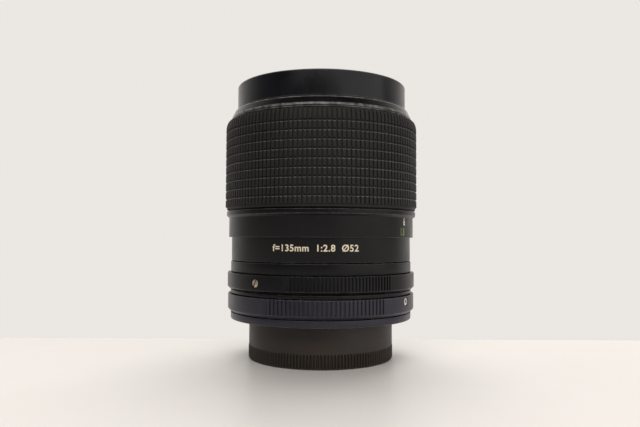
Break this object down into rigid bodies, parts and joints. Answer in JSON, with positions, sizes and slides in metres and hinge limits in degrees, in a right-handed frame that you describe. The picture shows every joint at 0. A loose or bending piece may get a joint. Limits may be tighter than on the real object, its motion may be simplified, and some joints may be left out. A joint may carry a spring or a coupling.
{
  "type": "prime camera lens",
  "caption": "Manual prime camera lens on its rear cap, with a ribbed rubber focus ring, click-stop aperture ring, mount clamp ring, sliding hood, helicoid focusing and bladed iris.",
  "frame": {"origin": "centre of the rear cap's base, on the surface that the lens stands on", "axes": "+Z along the optical axis towards the front of the lens; the index lines of the scales are on the +Y side and the fixed lettering is on the -Y side"},
  "size_m": [0.066, 0.066, 0.0925],
  "materials": {
    "satin_black": "satin black anodised",
    "blue_black": "satin blue-black anodised",
    "inner_black": "matte black anodised",
    "cap_plastic": "matte brown-black moulded plastic",
    "grip_rubber": "matte moulded rubber",
    "nickel": "bright nickel plate",
    "bronze": "dull plated brass",
    "brass": "machined brass",
    "steel": "turned steel",
    "blade_steel": "blackened spring steel",
    "felt": "black felt",
    "glass": "coated optical glass"
  },
  "bodies": {
    "barrel": {"main_barrel": "satin_black", "depth_scale_ring": "satin_black", "rear_housing": "satin_black", "detent_ball": "steel", "detent_leaf_spring": "brass", "detent_spring_screw": "steel", "guide_key": "brass", "guide_key_screw": "steel", "mount_screw_1": "steel", "mount_screw_2": "steel", "mount_screw_3": "steel", "mount_flange": "blue_black", "mount_hub": "inner_black", "rear_baffle": "inner_black", "plunger_bracket": "brass", "plunger_spring": "steel", "focus_stop_stud_1": "steel", "focus_stop_stud_2": "steel"},
    "focus_group": {"focus_ring": "satin_black", "focus_helicoid": "brass", "rubber_grip": "grip_rubber", "grip_trim_ring": "satin_black", "focus_retaining_ring": "brass", "focus_set_screw_1": "steel", "focus_set_screw_2": "steel", "focus_set_screw_3": "steel"},
    "optics": {"optics_barrel": "inner_black", "filter_ring": "satin_black", "name_ring": "satin_black", "hood_felt_ring": "felt", "front_element": "glass", "second_element": "glass", "third_element": "glass", "rear_element": "glass", "front_cell": "inner_black", "cell_retaining_ring": "inner_black", "element_spacer": "inner_black", "inner_retaining_ring": "inner_black", "rear_cell": "inner_black", "rear_retaining_ring": "inner_black", "iris_housing": "inner_black", "iris_retaining_ring": "brass"},
    "hood": {"sliding_hood": "satin_black"},
    "aperture_group": {"aperture_ring": "satin_black", "aperture_fork": "brass", "aperture_ring_screw": "bronze"},
    "iris_cam": {"iris_cam_ring": "brass"},
    "mount_collar": {"mount_ring": "blue_black", "mount_ring_screw": "nickel"},
    "plunger": {"stop_down_pin": "nickel"},
    "cap": {"rear_cap": "cap_plastic"},
    "blade_1": {"iris_blade_1": "blade_steel"},
    "blade_2": {"iris_blade_2": "blade_steel"},
    "blade_3": {"iris_blade_3": "blade_steel"},
    "blade_4": {"iris_blade_4": "blade_steel"},
    "blade_5": {"iris_blade_5": "blade_steel"},
    "blade_6": {"iris_blade_6": "blade_steel"},
    "blade_7": {"iris_blade_7": "blade_steel"},
    "blade_8": {"iris_blade_8": "blade_steel"}
  },
  "joints": [
    {"name": "focus_turn", "type": "hinge", "parent": "barrel", "child": "focus_group", "pos_m": [0, 0, 0], "axis": [0, 0, 1], "range_deg": [0, 150]},
    {"name": "optics_slide", "type": "slide", "parent": "barrel", "child": "optics", "axis": [0, 0, 1], "range_m": [0, 0.015]},
    {"name": "hood_slide", "type": "slide", "parent": "optics", "child": "hood", "axis": [0, 0, 1], "range_m": [0, 0.02]},
    {"name": "aperture_turn", "type": "hinge", "parent": "barrel", "child": "aperture_group", "pos_m": [0, 0, 0], "axis": [0, 0, 1], "range_deg": [0, 42]},
    {"name": "iris_cam_turn", "type": "hinge", "parent": "optics", "child": "iris_cam", "pos_m": [0, 0, 0], "axis": [0, 0, 1], "range_deg": [0, 42]},
    {"name": "mount_ring_turn", "type": "hinge", "parent": "barrel", "child": "mount_collar", "pos_m": [0, 0, 0], "axis": [0, 0, 1], "range_deg": [0, 60]},
    {"name": "stop_down_press", "type": "slide", "parent": "barrel", "child": "plunger", "axis": [0, 0, 1], "range_m": [0, 0.002], "stiffness_N_per_m": 250, "deforming": ["plunger_spring"]},
    {"name": "cap_release", "type": "slide", "parent": "barrel", "child": "cap", "axis": [0, 0, -1], "range_m": [0, 0.02]},
    {"name": "blade_1_swing", "type": "hinge", "parent": "optics", "child": "blade_1", "pos_m": [0.0212, 0, 0.0497], "axis": [0, 0, 1], "range_deg": [0, 30.36]},
    {"name": "blade_2_swing", "type": "hinge", "parent": "optics", "child": "blade_2", "pos_m": [0.01499, 0.01499, 0.0497], "axis": [0, 0, 1], "range_deg": [0, 30.36]},
    {"name": "blade_3_swing", "type": "hinge", "parent": "optics", "child": "blade_3", "pos_m": [0, 0.0212, 0.0497], "axis": [0, 0, 1], "range_deg": [0, 30.36]},
    {"name": "blade_4_swing", "type": "hinge", "parent": "optics", "child": "blade_4", "pos_m": [-0.01499, 0.01499, 0.0497], "axis": [0, 0, 1], "range_deg": [0, 30.36]},
    {"name": "blade_5_swing", "type": "hinge", "parent": "optics", "child": "blade_5", "pos_m": [-0.0212, 0, 0.0497], "axis": [0, 0, 1], "range_deg": [0, 30.36]},
    {"name": "blade_6_swing", "type": "hinge", "parent": "optics", "child": "blade_6", "pos_m": [-0.01499, -0.01499, 0.0497], "axis": [0, 0, 1], "range_deg": [0, 30.36]},
    {"name": "blade_7_swing", "type": "hinge", "parent": "optics", "child": "blade_7", "pos_m": [0, -0.0212, 0.0497], "axis": [0, 0, 1], "range_deg": [0, 30.36]},
    {"name": "blade_8_swing", "type": "hinge", "parent": "optics", "child": "blade_8", "pos_m": [0.01499, -0.01499, 0.0497], "axis": [0, 0, 1], "range_deg": [0, 30.36]}
  ],
  "couplings": [
    {"joint": "optics_slide", "follows": "focus_turn", "m_per_rad": 0.0057295},
    {"joint": "iris_cam_turn", "follows": "aperture_turn", "ratio": 1},
    {"joint": "blade_1_swing", "follows": "aperture_turn", "ratio": 0.7226},
    {"joint": "blade_2_swing", "follows": "aperture_turn", "ratio": 0.7226},
    {"joint": "blade_3_swing", "follows": "aperture_turn", "ratio": 0.7226},
    {"joint": "blade_4_swing", "follows": "aperture_turn", "ratio": 0.7226},
    {"joint": "blade_5_swing", "follows": "aperture_turn", "ratio": 0.7226},
    {"joint": "blade_6_swing", "follows": "aperture_turn", "ratio": 0.7226},
    {"joint": "blade_7_swing", "follows": "aperture_turn", "ratio": 0.7226},
    {"joint": "blade_8_swing", "follows": "aperture_turn", "ratio": 0.7226}
  ]
}
